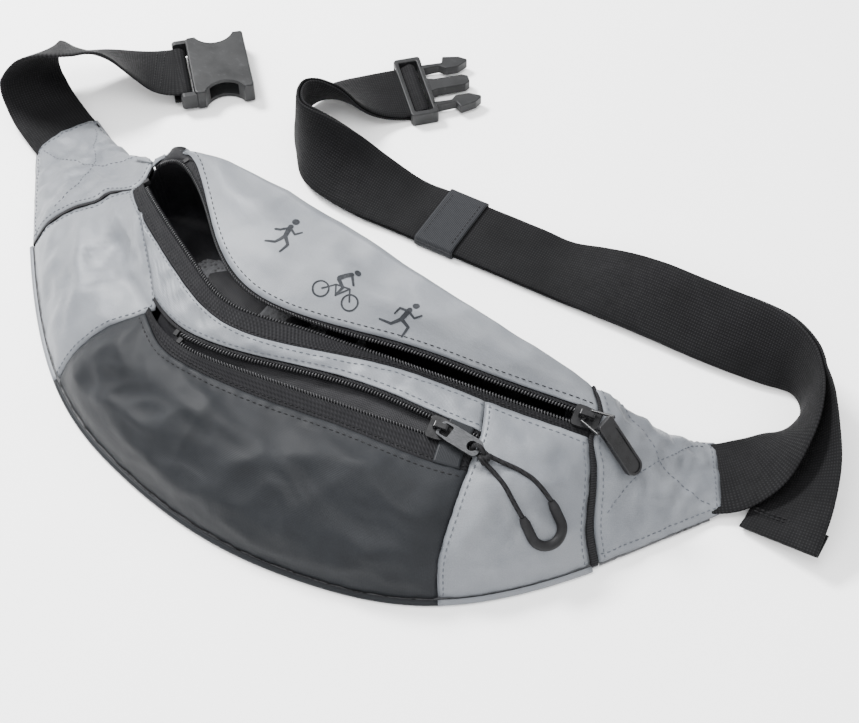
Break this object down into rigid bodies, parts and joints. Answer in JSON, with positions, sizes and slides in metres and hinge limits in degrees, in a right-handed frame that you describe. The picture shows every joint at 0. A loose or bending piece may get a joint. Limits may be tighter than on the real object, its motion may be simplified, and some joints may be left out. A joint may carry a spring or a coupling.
{
  "type": "running waist pack",
  "caption": "Crescent waist pack lying open on its back, with two zips and their pulls, folding wings, a doubled belt, a keeper and a side-release buckle.",
  "frame": {"origin": "on the flat back face, on the pack's middle, where it lies on a surface", "axes": "+X from the left wing to the right wing, +Y towards the wearer's head, +Z out of the front, away from the wearer"},
  "size_m": [0.5001, 0.3294, 0.061],
  "materials": {
    "reflective_fabric": "fine grey woven fabric with a satin reflective coat",
    "dark_fabric": "smooth charcoal coated fabric",
    "lining_fabric": "thin black lining",
    "back_mesh": "padded black mesh",
    "binding": "dark grey folded binding",
    "zip_tape": "black woven tape",
    "zip_coil": "black nylon coil",
    "zip_metal": "gloss black enamel on zinc",
    "tab_metal": "grey metal",
    "cord": "braided black cord",
    "grip_rubber": "soft matt black moulding",
    "webbing": "ribbed black webbing",
    "buckle_plastic": "fine textured dark grey moulding"
  },
  "bodies": {
    "pack": {"pocket_panel": "dark_fabric", "left_side_panel": "reflective_fabric", "right_side_panel": "reflective_fabric", "front_strip": "reflective_fabric", "upper_panel": "reflective_fabric", "top_gusset": "reflective_fabric", "main_tape_lower": "zip_tape", "main_tape_upper": "zip_tape", "pocket_tape_lower": "zip_tape", "pocket_tape_upper": "zip_tape", "left_seam_binding": "binding", "right_seam_binding": "binding", "back_panel": "back_mesh", "lower_edge_binding": "binding", "upper_edge_binding": "binding", "pocket_back": "lining_fabric", "main_lining": "lining_fabric", "main_coil_lower": "zip_coil", "main_coil_upper": "zip_coil", "pocket_coil_lower": "zip_coil", "pocket_coil_upper": "zip_coil", "main_stop_lower": "zip_metal", "main_stop_upper": "zip_metal", "pocket_stop_lower": "zip_metal", "pocket_stop_upper": "zip_metal", "pocket_zip_patch": "reflective_fabric"},
    "left_wing": {"left_wing": "reflective_fabric", "left_wing_back": "back_mesh"},
    "right_wing": {"right_wing": "reflective_fabric", "right_wing_back": "back_mesh"},
    "main_slider": {"main_slider": "zip_metal"},
    "main_bail": {"main_bail": "zip_metal"},
    "main_puller": {"main_puller": "zip_metal"},
    "pocket_slider": {"pocket_slider": "zip_metal"},
    "pocket_tab": {"pocket_tab": "tab_metal"},
    "pull_cord": {"pull_knot": "cord", "pull_cord_upper": "cord", "pull_cord_lower": "cord", "pull_grip": "grip_rubber"},
    "left_belt": {"left_belt": "webbing"},
    "buckle_socket": {"buckle_socket": "buckle_plastic"},
    "right_belt": {"right_belt": "webbing"},
    "keeper": {"keeper": "webbing"},
    "buckle_plug": {"buckle_plug": "buckle_plastic"},
    "prong_left": {"prong_left": "buckle_plastic"},
    "prong_right": {"prong_right": "buckle_plastic"}
  },
  "joints": [
    {"name": "main_slider_slide", "type": "slide", "parent": "pack", "child": "main_slider", "axis": [-0.9753, -0.2136, 0.0569], "range_m": [0, 0.094]},
    {"name": "main_bail_swing", "type": "hinge", "parent": "main_slider", "child": "main_bail", "pos_m": [0.13843, 0.04845, 0.04568], "axis": [-0.1394, -0.9869, -0.0818], "range_deg": [0, 45]},
    {"name": "main_puller_swing", "type": "hinge", "parent": "main_bail", "child": "main_puller", "pos_m": [0.14893, 0.04674, 0.04848], "axis": [-0.1394, -0.9869, -0.0818], "range_deg": [0, 146]},
    {"name": "pocket_slider_slide", "type": "slide", "parent": "pack", "child": "pocket_slider", "axis": [-0.982, -0.1889, -0.0058], "range_m": [0, 0.084]},
    {"name": "pocket_tab_swing", "type": "hinge", "parent": "pocket_slider", "child": "pocket_tab", "pos_m": [0.08931, 0.00609, 0.04747], "axis": [-0.056, -0.9847, -0.1651], "range_deg": [0, 60]},
    {"name": "pull_cord_swing", "type": "hinge", "parent": "pocket_tab", "child": "pull_cord", "pos_m": [0.10967, 0.00487, 0.0478], "axis": [-0.24, -0.9582, -0.1557], "range_deg": [0, 120]},
    {"name": "left_wing_fold", "type": "hinge", "parent": "pack", "child": "left_wing", "pos_m": [-0.16836, 0.01227, 0], "axis": [-0.6, -0.8, 0], "range_deg": [0, 30]},
    {"name": "right_wing_fold", "type": "hinge", "parent": "pack", "child": "right_wing", "pos_m": [0.17139, 0.01023, 0], "axis": [-0.5102, 0.8601, 0], "range_deg": [0, 10]},
    {"name": "left_belt_lift", "type": "hinge", "parent": "left_wing", "child": "left_belt", "pos_m": [-0.2014, 0.078, 0.0039], "axis": [-0.333, -0.9429, 0], "range_deg": [0, 50]},
    {"name": "buckle_socket_tilt", "type": "hinge", "parent": "left_belt", "child": "buckle_socket", "pos_m": [-0.183, 0.152, 0.0069], "axis": [0.7268, -0.6868, 0], "range_deg": [0, 45]},
    {"name": "right_belt_swing", "type": "hinge", "parent": "right_wing", "child": "right_belt", "pos_m": [0.1993, 0.0606, 0.0041], "axis": [0, 0, 1], "range_deg": [-15, 0]},
    {"name": "keeper_slide", "type": "slide", "parent": "right_belt", "child": "keeper", "axis": [0.9974, 0.072, 0], "range_m": [0, 0.03]},
    {"name": "buckle_plug_tilt", "type": "hinge", "parent": "right_belt", "child": "buckle_plug", "pos_m": [-0.068, 0.217, 0.0043], "axis": [0.7435, -0.6687, 0], "range_deg": [0, 5]},
    {"name": "left_prong_flex", "type": "hinge", "parent": "buckle_plug", "child": "prong_left", "pos_m": [-0.07423, 0.2331, 0.0043], "axis": [0, 0, 1], "range_deg": [-8, 0], "stiffness_Nm_per_rad": 0.6},
    {"name": "right_prong_flex", "type": "hinge", "parent": "buckle_plug", "child": "prong_right", "pos_m": [-0.05133, 0.2125, 0.0043], "axis": [0, 0, 1], "range_deg": [0, 8]}
  ],
  "couplings": [
    {"joint": "main_puller_swing", "follows": "main_slider_slide", "rad_per_m": 26.803},
    {"joint": "pull_cord_swing", "follows": "pocket_slider_slide", "rad_per_m": 24.518},
    {"joint": "right_prong_flex", "follows": "left_prong_flex", "ratio": -1}
  ]
}
